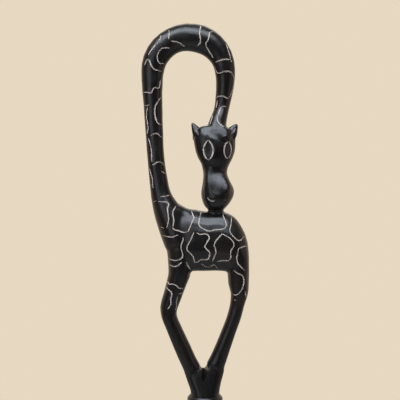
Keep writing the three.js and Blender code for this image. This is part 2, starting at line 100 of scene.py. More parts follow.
# %% From the photograph's pixels to the object
PIXEL = 0.85 * MM
AXIS_PIXEL = 205  # the column in which the shaft's axis stands
TOP_PIXEL = 23  # the row of the loop's top
EYE_PIXEL = (200, 200)
EYE_DISTANCE = 550 * MM
PICTURE_PIXELS = 400
CARVING_HEIGHT = 315.1 * MM

joint_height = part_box("giraffe_handle")[0][2]
loop_top = joint_height + CARVING_HEIGHT


def at(pixel, depth=0.0):
    """The place behind a pixel of the photograph, in the carving's middle plane or nearer by depth."""
    u, v = pixel
    return Vector(((u - AXIS_PIXEL) * PIXEL, -depth, loop_top - (v - TOP_PIXEL) * PIXEL))


eye = at(EYE_PIXEL, EYE_DISTANCE)
print("eye at", tuple(round(c, 4) for c in eye), "joint face at", round(joint_height, 4))

# %% [markdown]
# The lens follows from the distance: the picture's 400 pixels have to span 340 mm at the carving.

# %% Camera
camera_data = bpy.data.cameras.new("camera")
camera_data.sensor_width = 36
camera_data.lens = camera_data.sensor_width * EYE_DISTANCE / (PICTURE_PIXELS * PIXEL)
camera = bpy.data.objects.new("camera", camera_data)
camera.location = eye
camera.rotation_euler = (math.pi / 2, 0, 0)
bpy.context.collection.objects.link(camera)
bpy.context.scene.camera = camera
bpy.context.scene.view_settings.view_transform = "Standard"
print(f"lens {camera_data.lens:.1f} mm")

# %% [markdown]
# Black polished wood shows mostly what it mirrors, so the lamps are drawn as much as aimed. A very wide cool lamp
# stands high in front, as an open sky would, and lights what faces upwards. Three weak ones keep the sides and the
# back of the stick readable.

# %% Lamps
STICK_MIDDLE = (0, 0, 0.5)
COOL = (0.92, 0.95, 1.0)


def lamp(name, place, target, wide, high, watts, colour):
    """A rectangular lamp that faces a target. Places and sizes are in metres."""
    data = bpy.data.lights.new(name, "AREA")
    data.shape = "RECTANGLE"
    data.size = wide
    data.size_y = high
    data.energy = watts
    data.color = colour
    made = bpy.data.objects.new(name, data)
    made.location = place
    made.rotation_euler = (Vector(target) - Vector(place)).to_track_quat("-Z", "Y").to_euler()
    bpy.context.collection.objects.link(made)


grip_middle = at(EYE_PIXEL)
lamp("sky_lamp", grip_middle + Vector((-0.18, -0.85, 1.2)), grip_middle, 1.9, 0.75, 42, (0.82, 0.89, 1.0))
lamp("side_lamp", grip_middle + Vector((1.3, -0.5, 0.1)), grip_middle, 0.7, 0.7, 1.1, (1.0, 0.92, 0.82))
lamp("left_lamp", (-0.8, -1.25, 0.95), STICK_MIDDLE, 0.9, 0.9, 4, COOL)
lamp("back_lamp", (0.2, 1.1, 2.0), STICK_MIDDLE, 1.2, 1.2, 6, COOL)

# %% [markdown]
# Shader maths reads better as Python sums than as rows of nodes. This small class wraps a socket, and each operator on
# it adds the Math node that it means.

# %% Sockets that can be added and multiplied
class Socket:
    def __init__(self, tree, socket):
        self.tree = tree
        self.socket = socket

    def maths(self, operation, *values, clamp=False):
        made = self.tree.nodes.new("ShaderNodeMath")
        made.operation = operation
        made.use_clamp = clamp
        for slot, value in zip(made.inputs, values):
            if isinstance(value, Socket):
                self.tree.links.new(value.socket, slot)
            else:
                slot.default_value = value
        return Socket(self.tree, made.outputs[0])

    def __add__(self, other):
        return self.maths("ADD", self, other)

    def __radd__(self, other):
        return self.maths("ADD", other, self)

    def __sub__(self, other):
        return self.maths("SUBTRACT", self, other)

    def __rsub__(self, other):
        return self.maths("SUBTRACT", other, self)

    def __mul__(self, other):
        return self.maths("MULTIPLY", self, other)

    def __rmul__(self, other):
        return self.maths("MULTIPLY", other, self)

    def clamped(self):
        return self.maths("ADD", self, 0.0, clamp=True)

    def step(self, low, high):
        """0 at low, 1 at high and a straight change between."""
        return self.maths("MULTIPLY", self - low, 1 / (high - low), clamp=True)


# %% [markdown]
# Every node that isn't a sum comes from one method, which sets the node's settings first and then fills its sockets.
# The world's nodes come from it too.

# %% Nodes of one tree
class Nodes:
    def __init__(self, tree):
        self.tree = tree

    def fill(self, slot, value):
        if isinstance(value, Socket):
            self.tree.links.new(value.socket, slot)
        elif slot.type == "RGBA" and len(value) == 3:
            slot.default_value = (*value, 1)
        else:
            slot.default_value = value

    def node(self, kind, settings=None, output=None, **values):
        """Adds a node, sets its settings and then its sockets, and gives the output named or the first one."""
        made = self.tree.nodes.new("ShaderNode" + kind)
        for key, value in (settings or {}).items():
            setattr(made, key, value)
        for key, value in values.items():
            slot = next(s for s in made.inputs if s.name.replace(" ", "_") == key and s.enabled)
            self.fill(slot, value)
        found = made.outputs[output] if output else next(s for s in made.outputs if s.enabled)
        return Socket(self.tree, found)

    def mixed(self, share, first, second):
        """The first colour where share is 0, the second where it is 1."""
        return self.node("Mix", {"data_type": "RGBA"}, Factor=share, A=first, B=second)


print("nodes helper ready")

# %% [markdown]
# A finish is a material with a Principled shader. Its changing values are linked in, and its fixed ones are set on the
# shader's own sockets. Most patterns here are clouds: noise in the object's own space, drawn out along the grain.

# %% A finish
class Finish(Nodes):
    def __init__(self, name, **values):
        self.material = bpy.data.materials.new(name)
        self.material.use_nodes = True
        super().__init__(self.material.node_tree)
        self.shader = self.tree.nodes["Principled BSDF"]
        self.set(**values)

    def set(self, **values):
        """Fills the shader's sockets and gives the material."""
        for key, value in values.items():
            self.fill(self.shader.inputs[key.replace("_", " ")], value)
        return self.material

    def clouds(self, scale, detail=3.0, roughness=0.5, stretch=(1, 1, 1), distortion=0.0):
        where = self.node("TexCoord", output="Object")
        stretched = self.node("Mapping", Vector=where, Scale=stretch)
        return self.node(
            "TexNoise", Vector=stretched, Scale=scale, Detail=detail, Roughness=roughness, Distortion=distortion
        )

    def bump(self, height, distance, strength, normal=None):
        below = {"Normal": normal} if normal else {}
        return self.node("Bump", Height=height, Distance=distance, Strength=strength, **below)


print("finish helper ready")

# %% [markdown]
# The wood is stained black, but it isn't one black. The stain lies thinner along some of the grain, where the brown
# wood comes through, and the polish is a little dull where no hand rubs it. The grain runs along the stick, so every
# pattern is stretched that way. Grain is also felt: it is a shallow bump.

# %% Black wood
STAIN_BLACK = (0.0018, 0.0015, 0.0018)
STAIN_BROWN = (0.0085, 0.0045, 0.0036)
finish = Finish("stained_wood", Specular_IOR_Level=0.41)
streaks = finish.clouds(420, detail=6, roughness=0.62, stretch=(1, 1, 0.06), distortion=0.4)
patches = finish.clouds(48, stretch=(1, 1, 0.5))
pores = finish.clouds(2600, detail=2, stretch=(1, 1, 0.08))
brown = (streaks.step(0.5, 0.8) * 0.6 + patches.step(0.5, 0.75) * 0.6).clamped()
dull = patches.step(0.3, 0.7) * 0.08 + streaks.step(0.4, 0.8) * 0.07
scratches = finish.clouds(700, detail=4, roughness=0.7, stretch=(1, 0.3, 0.15), distortion=1.2)
grain = finish.bump(streaks * 0.7 + pores.step(0.55, 0.75) * -0.6, 0.1 * MM, 0.4)
stained_wood = finish.set(
    Base_Color=finish.mixed(brown, STAIN_BLACK, STAIN_BROWN), Roughness=dull + 0.25,
    Normal=finish.bump(scratches, 0.05 * MM, 0.2, grain),
)
print("made", stained_wood.name)

# %% [markdown]
# Where the gouge went through the stain, the bare pale wood shows. Rubbing has left black in some stretches and grey
# in others, so the line comes and goes along its length. The hollows of the ears and the line round the mouth are
# cut as well, but more stain has run into them, and they are a dusty purple brown.

# %% Bare wood in the cuts
def bare_wood(name, pale, soiled, clean):
    finish = Finish(name, Roughness=0.8, Specular_IOR_Level=0.3)
    rubbed = finish.clouds(190, detail=5, roughness=0.66)
    fibres = finish.clouds(1500, stretch=(1, 1, 0.25))
    soil = (rubbed.step(clean, clean + 0.2) * 0.8 + fibres.step(0.5, 0.8) * 0.35).clamped()
    return finish.set(Base_Color=finish.mixed(soil, pale, soiled), Normal=finish.bump(fibres, 0.1 * MM, 0.6))


line_wood = bare_wood("bare_wood", (0.58, 0.515, 0.455), (0.14, 0.11, 0.11), 0.49)
dusty_wood = bare_wood("dusty_wood", (0.20, 0.155, 0.165), (0.055, 0.036, 0.034), 0.45)
WOODS = (stained_wood, line_wood, dusty_wood)
STAINED, BARE, DUSTY = range(3)
print("made", ", ".join(material.name for material in WOODS))

# %% [markdown]
# The carving and the turned pieces are meshes. These helpers put a mesh into the scene, take what its modifiers make
# of it, and see that it is sound: without double corners, and with every face turned outwards.

# %% Link a mesh, and apply what its modifiers do
def link(name, mesh, *materials):
    made = bpy.data.objects.new(name, mesh)
    for material in materials:
        mesh.materials.append(material)
    bpy.context.collection.objects.link(made)
    return made


def outcome(thing):
    """What an object's modifiers or its curve come to, as a mesh of its own."""
    graph = bpy.context.evaluated_depsgraph_get()
    return bpy.data.meshes.new_from_object(thing.evaluated_get(graph), depsgraph=graph)


def apply_modifiers(thing):
    mesh = outcome(thing)
    thing.modifiers.clear()
    thing.data = mesh


print("solids helper ready")

# %% Sound meshes
WELD = 0.001 * MM  # corners closer than this are one


def opened(mesh):
    """A bmesh of a mesh."""
    bm = bmesh.new()
    bm.from_mesh(mesh)
    return bm


def written(bm, mesh):
    """The mesh, with the bmesh written into it."""
    bm.to_mesh(mesh)
    bm.free()
    return mesh


def sound(bm):
    """Joins double corners and turns every face outwards."""
    bmesh.ops.remove_doubles(bm, verts=bm.verts, dist=WELD)
    bmesh.ops.recalc_face_normals(bm, faces=bm.faces)
    return bm


def meshed(bm, name, wood=STAINED):
    """A sound mesh of the bmesh, all in one of the woods."""
    mesh = written(sound(bm), bpy.data.meshes.new(name))
    for material in WOODS:
        mesh.materials.append(material)
    mesh.polygons.foreach_set("material_index", [wood] * len(mesh.polygons))
    return mesh


print("meshes are welded at", WELD / MM, "mm")

# %% [markdown]
# A lathe needs one outline of radius and height. Every bore and plug here goes in steps, so one function gives the
# outline of them all.

# %% Spun outlines
SPIN_STEPS = 96


def turned(outline):
    """A bmesh: an outline of (radius, height) in millimetres, spun about the stick's axis from axis to axis."""
    bm = bmesh.new()
    corners = [bm.verts.new((radius * MM, 0, height * MM)) for radius, height in outline]
    edges = [bm.edges.new(pair) for pair in zip(corners, corners[1:])]
    bmesh.ops.spin(
        bm, geom=corners + edges, axis=(0, 0, 1), cent=(0, 0, 0), dvec=(0, 0, 0),
        angle=2 * math.pi, steps=SPIN_STEPS, use_merge=True, use_duplicate=False,
    )
    return sound(bm)


def stepped(start, *steps):
    """An outline of steps that ends at the axis. Each step is a radius and the height where it ends."""
    outline = []
    for radius, end in steps:
        outline += [(radius, start), (radius, end)]
        start = end
    return [*outline, (0, start)]


print("lathe ready,", SPIN_STEPS, "steps round")

# %% [markdown]
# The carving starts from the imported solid, so that its outline is the one the frame holds. A copy of it gets its loose
# corners joined, and one tool joins solids to it or cuts them out.

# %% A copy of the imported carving, and the tool that cuts it
PACKED_WELD = 0.002 * MM
packed_mesh = frame["nodes"]["giraffe_handle"].data.copy()
packed_mesh.materials.clear()
bm = opened(packed_mesh)
bmesh.ops.remove_doubles(bm, verts=bm.verts, dist=PACKED_WELD)
giraffe = link("giraffe", written(bm, packed_mesh), *WOODS)


def carve(mesh, operation="DIFFERENCE"):
    """Cuts a solid out of the giraffe, or joins it on. Its wood shows on the new faces."""
    other = link(mesh.name, mesh)
    boolean = giraffe.modifiers.new("boolean", "BOOLEAN")
    boolean.operation = operation
    boolean.solver = "MANIFOLD"
    boolean.object = other
    apply_modifiers(giraffe)
    bpy.data.objects.remove(other)


print("packed solid:", len(giraffe.data.polygons), "faces")

# %% [markdown]
# That solid is a union of faceted limbs, and a voxel remesh melts them into one skin. The threaded hole would melt too,
# so it is plugged first and cut again at the end. In the corner where the neck meets the back, the real carver left
# wood standing, as a hollow curve. Two egg-shaped lumps fill it.

# %% Plug the hole and fill the neck's corner
PLUG_BELOW = 4  # millimetres, so that the foot's rim stays sharp where it is cut off later
PLUG_STEP = 1
PLUG_HEIGHT = 15
PLUG_RADIUS = 9
BASE_RADIUS = 12.3
LUMPS = [
    # middle, radii across and up in pixels, depth in millimetres
    ((179, 211.5), (8, 7.5), 9.0),
    ((186.5, 215), (8, 7), 8.0),
]
foot = joint_height / MM
plug = stepped(foot - PLUG_BELOW, (BASE_RADIUS, foot + PLUG_STEP), (PLUG_RADIUS, foot + PLUG_HEIGHT))
carve(meshed(turned([(0, foot - PLUG_BELOW), *plug]), "plug"), "UNION")
for pixel, (across, up), deep in LUMPS:
    bm = bmesh.new()
    bmesh.ops.create_icosphere(bm, subdivisions=3, radius=1)
    bmesh.ops.scale(bm, verts=bm.verts, vec=(across * PIXEL, deep * MM, up * PIXEL))
    bmesh.ops.translate(bm, verts=bm.verts, vec=at(pixel))
    carve(meshed(bm, "lump"), "UNION")
print("with plug and lumps:", len(giraffe.data.polygons), "faces")

# %% Melt the limbs into one skin
SKIN_VOXEL = 1.0 * MM
remesh = giraffe.modifiers.new("remesh", "REMESH")
remesh.mode = "VOXEL"
remesh.voxel_size = SKIN_VOXEL
apply_modifiers(giraffe)
print("skin faces:", len(giraffe.data.polygons))

# %% [markdown]
# Smoothing pulls every corner towards its neighbours, which also shrinks thin limbs. So each round of pulling is
# followed by a round of pushing that is slightly stronger. The facets go and the thickness stays.

# %% Corners as one array, and smoothing
PULL = 0.5
PUSH = -0.52
SKIN_ROUNDS = 14


def read(values, kind, width=3, like=float):
    """One property of all corners or edges, such as their places, as rows of numbers."""
    numbers = np.empty(len(values) * width, dtype=like)
    values.foreach_get(kind, numbers)
    return numbers.reshape(-1, width)


def set_corners():
    giraffe.data.vertices.foreach_set("co", skin.ravel())
    giraffe.data.update()


def relaxed(places, rounds, weight=1.0, push=PUSH):
    edges = read(giraffe.data.edges, "vertices", 2, np.int64)
    first, second = edges.T
    count = np.bincount(edges.ravel(), minlength=len(places))[:, None]
    shares = [share for share in (PULL, push) if share]
    for _ in range(rounds):
        for share in shares:
            total = np.empty_like(places)
            for axis in range(3):
                column = places[:, axis]
                total[:, axis] = np.bincount(first, column[second], len(places))
                total[:, axis] += np.bincount(second, column[first], len(places))
            places = places + share * weight * (total / count - places)
    return places


skin = relaxed(read(giraffe.data.vertices, "co"), SKIN_ROUNDS)
print("skin spans", np.round((skin.max(0) - skin.min(0)) / MM, 1), "mm")

# %% [markdown]
# Some work is local, so every tool below takes a region: how strongly each corner of the skin belongs to an oval round
# a pixel, or to a band from one pixel to another.

# %% Regions
CORE = 0.375  # the share of a region that is full


def smooth(share):
    """Rounds both ends of a change from 0 to 1."""
    return share * share * (3 - 2 * share)


def fade(distance, core=CORE):
    """1 in the core, falling to 0 at a distance of 1."""
    return smooth(np.clip((1 - distance) / (1 - core), 0, 1))


def region(pixel, wide, high, front=None, core=CORE):
    """How strongly each corner belongs to an oval round a pixel, wide and high in pixels."""
    centre = at(pixel)
    across = (skin[:, 0] - centre.x) / (wide * PIXEL)
    up = (skin[:, 2] - centre.z) / (high * PIXEL)
    inside = fade(np.hypot(across, up), core)
    if front is None:
        return inside
    side = -skin[:, 1] if front else skin[:, 1]
    return inside * np.clip(side / MM + 1, 0, 1)


def band(first, last, wide, core):
    """How strongly each corner of the front belongs to a straight band between two pixels, wide in pixels."""
    start, along = np.array(at(first)), np.array(at(last) - at(first))
    share = np.clip((skin - start) @ along / (along @ along), 0, 1)
    off = (skin - start - share[:, None] * along)[:, [0, 2]]
    return fade(np.hypot(off[:, 0], off[:, 1]) / (wide * PIXEL / 2), core) * (skin[:, 1] < 0)


def rows_between(above, top, bottom, below):
    """1 from the top row to the bottom row, falling to 0 at the rows above and below."""
    return np.interp(skin[:, 2], [at((0, row)).z for row in (below, bottom, top, above)], (0, 1, 1, 0))


print("region of the forehead holds", int((region((216, 134), 22, 12) > 0.5).sum()), "corners")

# %% [markdown]
# In the corners where limbs meet, a plain smoothing without the push fills the crease.

# %% The creases where limbs meet
CREASES = [((181, 209), 13, 11), ((184, 226), 8, 20), ((190, 270), 5, 5)]
CREASE_ROUNDS = 40


def eased(rounds, *spot):
    """Smooths a region of the skin without the push."""
    return relaxed(skin, rounds, weight=region(*spot)[:, None], push=0)


for crease in CREASES:
    skin = eased(CREASE_ROUNDS, *crease)
set_corners()
print("creases filled:", len(CREASES))

# %% [markdown]
# To put a thing on the carving where the photograph shows it, a ray goes from the camera through the pixel, and where
# it lands is the place. For the back, which the photograph doesn't show, the ray starts from the mirror place behind.

# %% Where a pixel lands on the skin
def skin_tree():
    return BVHTree.FromObject(giraffe, bpy.context.evaluated_depsgraph_get())


target = skin_tree()


def landing(pixel, side=1):
    """Where the ray through a pixel meets the skin, from the camera or from its mirror place behind the carving."""
    start = Vector((eye.x, eye.y * side, eye.z))
    aim = at(pixel)
    place, normal, _, _ = target.ray_cast(start, (aim - start).normalized())
    if place is None:
        place, normal, _, _ = target.find_nearest(aim)
    return place, normal


print("forehead stands", round(-landing((216, 140))[0].y / MM, 1), "mm forward")

# %% [markdown]
# The face in profile: a forehead that slopes back to the crown, a straight nose, and a round muzzle that stands out
# furthest just above the nostrils. The front of the head is stretched forwards or back, row by row, until its middle
# line has those depths. Above the head the neck leans back, so that the light on the forehead runs up into it.

# %% The head's profile
FACE_PROFILE = [
    # row, millimetres forward
    (123, 9.0), (128, 10.3), (132, 11.1), (136, 11.8), (140, 12.3), (144, 12.7), (150, 13.0), (154, 12.9), (159, 12.2),
    (163, 11.1), (168, 9.9), (172, 10.2), (178, 12.3), (184, 14.5), (188, 15.6), (192, 15.9), (196, 16.0),
    (200, 15.6), (204, 14.2), (207, 12.4), (210, 9.2),
]
FACE_COLUMN = 217
HEAD_COLUMN = 215
HEAD_HALF_WIDTH = 26  # pixels
HEAD_ROWS = (121, 126, 208, 212)
NECK_LEAN = 3.6 * MM
NECK_ROWS = (66, 92, 103, 123)
NECK_FROM_COLUMN = 206

behind_head = rows_between(*NECK_ROWS) * (skin[:, 0] > at((NECK_FROM_COLUMN, 0)).x)
skin[:, 1] += NECK_LEAN * smooth(behind_head)
set_corners()
target = skin_tree()
rows = [at((FACE_COLUMN, v)).z for v, _ in FACE_PROFILE]
stands = [-landing((FACE_COLUMN, v))[0].y / MM for v, _ in FACE_PROFILE]
stretch = [wanted / max(stand, 1) for (_, wanted), stand in zip(FACE_PROFILE, stands)]
head = fade(np.abs(skin[:, 0] - at((HEAD_COLUMN, 0)).x) / (HEAD_HALF_WIDTH * PIXEL))
head *= rows_between(*HEAD_ROWS) * (skin[:, 1] < 0)
skin[:, 1] *= 1 + (np.interp(skin[:, 2], rows[::-1], stretch[::-1]) - 1) * head
print("stretch from", round(min(stretch), 2), "to", round(max(stretch), 2))

# %% [markdown]
# The carver's knife leaves flat cuts with ridges between them. Shave moves whatever stands out past a plane back onto
# it. Its planes are given by pixels of the photograph with a depth towards the viewer, in millimetres, or a depth
# below 0 for the back. Pare takes a thin facet off the highest wood, and swell pushes a spot outwards, to give the
# knife more to cut. All three fade out at the edge of their region.

# %% Shave, pare and swell
def planed(over, normal, where, soft):
    """Moves back what stands over a plane. Soft says how rounded the cut's edge is, in millimetres."""
    cut = np.logaddexp(0, over / (soft * MM)) * soft * MM
    return skin - (cut * where)[:, None] * normal


def shave(*spots, where, soft):
    """Cuts flat across three spots, each (pixel, depth in millimetres)."""
    a, b, c = (at(pixel, depth * MM) for pixel, depth in spots)
    normal = (b - a).cross(c - a).normalized()
    if normal.y * spots[0][1] > 0:
        normal.negate()
    normal = np.array(normal)
    return planed((skin - np.array(a)) @ normal, normal, where, soft)


def pare(up, left, deep, where, soft):
    """Cuts a facet off the highest wood of a region, deep millimetres into it and turned up and left by degrees."""
    up, left = math.radians(up), math.radians(left)
    normal = np.array((-math.sin(left) * math.cos(up), -math.cos(left) * math.cos(up), math.sin(up)))
    height = skin @ normal
    return planed(height - (height[where > 0.5].max() - deep * MM), normal, where, soft)


def swell(pixel, wide, high, move):
    """Moves an oval spot of the front by (x, y, z) in millimetres."""
    return skin + region(pixel, wide, high, front=True)[:, None] * np.array(move) * MM


print("knife ready")

# %% [markdown]
# On the head: the forehead is one flat slope, with a narrow brow facet beside it on the left. Round the left eye the
# face is flat and looks straight ahead, and the top of the muzzle is a wide slope that catches the sky. The right brow
# and the muzzle's shoulders are filled out before they are cut.

# %% Carve the head
skin = eased(15, (216, 124), 13, 8)
skin = swell((226.5, 133), 10, 11, (0, -2.8, 0))
skin = shave(
    ((208, 127), 9.2), ((226, 127), 9.0), ((217, 136), 11.4), where=region((219, 131), 15, 11, True, 0.6), soft=0.5
)
skin = pare(24, 10, 0.9, where=band((206.5, 128.5), (198, 140), 11, 0.6), soft=0.12)
skin = shave(
    ((204, 143), 11.8), ((212, 143), 12.3), ((208, 157), 12.1), where=region((207.5, 150), 8, 11, True), soft=0.4
)
skin = swell((209, 179), 8, 12, (0, -2.2, 0))
skin = swell((226, 184), 8, 13, (0, -2.8, 0))
skin = shave(
    ((207, 172), 10.3), ((229, 172), 9.9), ((218, 190), 15.2), where=region((218, 182), 18, 13, True, 0.8), soft=0.9
)
skin = relaxed(skin, 3)
skin = eased(12, (218, 181), 19, 18, True)
skin = eased(20, (209.5, 169), 6, 8, True)
print("head reaches", round(float(-skin[:, 1].min() / MM), 1), "mm forward")

# %% [markdown]
# Where the shins run together the wood is still as thin as they are, and it thickens evenly down to the round foot.
# Two cuts, front and back, make that slope.

# %% Carve the fork of the legs
for way in (1, -1):
    skin = shave(
        ((190, 372), 7.2 * way), ((218, 372), 7.2 * way), ((204, 397), 12.0 * way),
        where=region((204, 380), 21, 20, way > 0, 0.7), soft=0.6,
    )
skin = eased(12, (222.5, 370), 5, 9)
skin = eased(12, (193, 384), 6, 14)
skin = relaxed(skin, 4)
print("fork stands", round(float(-skin[region((204, 378), 3, 3) > 0.5][:, 1].min() / MM), 1), "mm forward")

# %% [markdown]
# No surface that was scraped by hand is true. A slow wave of a third of a millimetre, and a quicker and smaller one,
# bend the highlights as they do on the real carving. The forehead was rubbed smoother than the rest.

# %% Hand-scraped waves
SLOW_WAVE = (16 * MM, 0.32 * MM, 3.1)  # length, height, seed
QUICK_WAVE = (6 * MM, 0.06 * MM, 8.7)
RUBBED_AWAY = 0.8  # of the waves on the forehead


def waves(length, height, seed):
    values = [noise.noise(Vector(place) / length + Vector((seed, 0, 0))) for place in skin]
    return np.array(values)[:, None] * height


set_corners()
normals = read(giraffe.data.vertex_normals, "vector")
not_rubbed = 1 - RUBBED_AWAY * region((217, 131), 17, 11, True)[:, None]
skin = skin + normals * (waves(*SLOW_WAVE) + waves(*QUICK_WAVE)) * not_rubbed
set_corners()
print("waves done on", len(skin), "corners")

# %% [markdown]
# The ears are short and pointed. Each is a cone with a belly and a blunt tip, pressed flat, leaned from its root on the
# head to its tip, and joined on.

# %% Ears
EAR_SIDES = 28
EAR_RINGS = (-0.3, -0.1, 0.1, 0.3, 0.42)  # cut across the cone, whose ends are at -0.5 and 0.5
EAR_BLUNT = 0.17
EAR_BELLY = 0.14
EAR_WAIST = 0.35
EARS = [
    # tip, depth there, root, depth there, width in pixels, thickness in millimetres
    ((192.2, 123.4), 2.6, (200.4, 138.5), 4.0, 14.5, 7.4),
    ((236.7, 124.6), 2.4, (227.9, 138.6), 3.0, 17.0, 6.8),
]


def laid(bm, name, side, front, along, middle, wood=STAINED):
    """Stretches a bmesh along three directions, puts it in its place and makes it a mesh."""
    columns = Matrix((side, front, along)).transposed().to_4x4()
    bmesh.ops.transform(bm, matrix=Matrix.Translation(middle) @ columns, verts=bm.verts)
    return meshed(bm, name, wood)


def ear(tip, tip_depth, root, root_depth, wide, thick):
    bm = bmesh.new()
    bmesh.ops.create_cone(bm, cap_ends=True, segments=EAR_SIDES, radius1=1, radius2=EAR_BLUNT, depth=1)
    for height in EAR_RINGS:
        everything = bm.verts[:] + bm.edges[:] + bm.faces[:]
        bmesh.ops.bisect_plane(bm, geom=everything, plane_co=(0, 0, height), plane_no=(0, 0, 1))
    for corner in bm.verts:
        share = corner.co.z + 0.5
        belly = 1 + EAR_BELLY * math.sin(math.pi * share) - EAR_WAIST * (1 - share) ** 3
        corner.co.x *= belly
        corner.co.y *= belly
    top = [e for e in bm.edges if all(v.co.z > 0.49 for v in e.verts)]
    bmesh.ops.bevel(
        bm, geom=top, offset=EAR_BLUNT * 0.7, affect="EDGES", segments=3, profile=0.5, material=-1, clamp_overlap=True
    )
    high, low = at(tip, tip_depth * MM), at(root, root_depth * MM)
    along = high - low
    side = along.cross(Vector((0, 1, 0))).normalized()
    front = side.cross(along).normalized()
    return laid(bm, "ear", side * wide * PIXEL / 2, front * thick * MM / 2, along, (low + high) / 2)


for blank in EARS:
    carve(ear(*blank), "UNION")
print("ears on:", len(giraffe.data.polygons), "faces")

# %% [markdown]
# Between the legs the gap ends in a sharp point, and the crease goes on down the front. A square bar on its edge,
# narrowed and dipped to the front, cuts both.

# %% Point of the gap between the legs
GAP_POINT = (203.5, 374.2)
GAP_BAR = (5.2, 8.5)  # half its width and half its height in pixels
GAP_BAR_LENGTH = 30 * MM
GAP_DIP = Matrix.Rotation(math.radians(28), 3, "X")
bm = bmesh.new()
bmesh.ops.create_cube(bm, size=math.sqrt(2))
bmesh.ops.rotate(bm, verts=bm.verts, cent=(0, 0, 0), matrix=Matrix.Rotation(math.pi / 4, 3, "Y"))
bmesh.ops.scale(bm, verts=bm.verts, vec=(GAP_BAR[0] * PIXEL, GAP_BAR_LENGTH, GAP_BAR[1] * PIXEL))
bmesh.ops.rotate(bm, verts=bm.verts, cent=(0, 0, 0), matrix=GAP_DIP)
bmesh.ops.translate(bm, verts=bm.verts, vec=at(GAP_POINT) + GAP_DIP @ Vector((0, 0, GAP_BAR[1] * PIXEL)))
carve(meshed(bm, "bar"))
target = skin_tree()
print("gap cut:", len(giraffe.data.polygons), "faces")

# %% [markdown]
# A scoop is a long egg that lies half in the wood, from one pixel to another. It cuts the hollow of each ear, and a
# dark pit under the nostril.

# %% Scoops
SCOOPS = [
    # from, to, width in pixels, depth in millimetres, which wood shows
    ((193.2, 125.9), (198.8, 134.9), 3.2, 1.2, DUSTY),
    ((235.4, 127.2), (231.8, 134.6), 3.2, 1.2, DUSTY),
    ((207.4, 200.6), (213.6, 204.6), 3.2, 0.9, STAINED),
]


def scoop(first, last, wide, deep, wood):
    bm = bmesh.new()
    bmesh.ops.create_icosphere(bm, subdivisions=4, radius=1)
    (start, normal), (end, other) = landing(first), landing(last)
    along = (end - start) / 2
    front = (normal + other).normalized()
    side = along.cross(front).normalized()
    front = side.cross(along).normalized()
    return laid(bm, "scoop", side * wide * PIXEL / 2, front * deep * MM, along, (start + end) / 2, wood)


for cut in SCOOPS:
    carve(scoop(*cut))
target = skin_tree()
print("scooped:", len(SCOOPS))

# %% [markdown]
# The patches of the coat are outlined by single gouge cuts. Each route below was read off the photograph as pixels. It
# is thrown onto the skin from the camera, and a thin tapering rod is laid along it and cut out of the wood.

# %% The routes of the gouge on the neck
NECK_ROUTES = [
    [(201, 24), (200, 29), (199.5, 34), (200.5, 39), (200.5, 42), (198.5, 44.5), (197, 46)],
    [(219, 33), (214, 31.5), (209.5, 32), (209, 36), (208, 40), (205.5, 43), (206.5, 47), (209, 51), (211.5, 55),
     (213.5, 58)],
    [(225.8, 43), (227.6, 48), (229.3, 54), (230.9, 59)],
    [(215.5, 62), (218, 61), (222, 59.5), (226, 59), (231, 59.5), (231.5, 62)],
    [(214.5, 66), (215.5, 70), (217.5, 73), (220, 73), (223, 71.5), (228, 71), (231, 72), (233, 75), (234, 79),
     (233.5, 85), (232.5, 90), (231, 94), (229.5, 97), (228, 98.5), (226, 97.5), (224, 96), (220, 96), (217, 97),
     (215.5, 97)],
    [(169, 30), (169, 35), (168.5, 39)],
    [(161, 35), (160.5, 38), (158, 42), (154, 46), (151, 50), (149, 53), (148.5, 55)],
    [(144.5, 65), (145.5, 62), (147, 59), (149, 59.5), (150, 62), (151.5, 66), (154, 69), (157, 70), (160, 71),
     (162, 71.5)],
    [(169.5, 48), (166, 47.5), (162, 48), (159.5, 50.5), (157.5, 54), (157, 58), (158, 61), (160, 63.5), (164, 63.5)],
    [(171, 41), (176, 41.5), (180, 43), (184, 46), (185, 46.5)],
    [(143, 92.5), (147, 92), (151, 93), (152, 91), (153, 88.5), (155, 87), (158, 88.5), (159, 88), (160, 84),
     (160.5, 80)],
    [(145, 105.5), (149.5, 104.8)],
    [(147.5, 106.5), (146.5, 112), (146.5, 118), (147.5, 123), (148, 128), (147, 134)],
    [(161, 97), (158, 101), (155.5, 105), (154.5, 110), (155, 115), (156, 120), (158, 123.5), (161, 124.5)],
    [(226, 107), (224.5, 106), (221.5, 106.5), (220, 109), (218.5, 113), (217, 117), (217.5, 121), (220, 124),
     (223, 126), (225.5, 126.5)],
    [(217.5, 100), (216, 108)],
    [(211.8, 113.3), (212.3, 117), (210, 123.8)],
    [(150.5, 135.5), (153, 134), (156, 133), (158.5, 134), (160, 136.5), (162.5, 137.5)],
    [(148.5, 138), (149.5, 142), (151, 147), (151.5, 152), (151.5, 158), (151.8, 162)],
    [(152, 164.8), (154.5, 164), (157, 162), (160, 161.5), (162.5, 163), (164.5, 166)],
    [(149.5, 168.5), (151, 174), (152.5, 179), (152.5, 184), (153, 188)],
    [(161, 171), (165, 173.5)],
    [(160.5, 196.5), (165, 196), (169.5, 195)],
]
print("routes on the neck:", len(NECK_ROUTES))

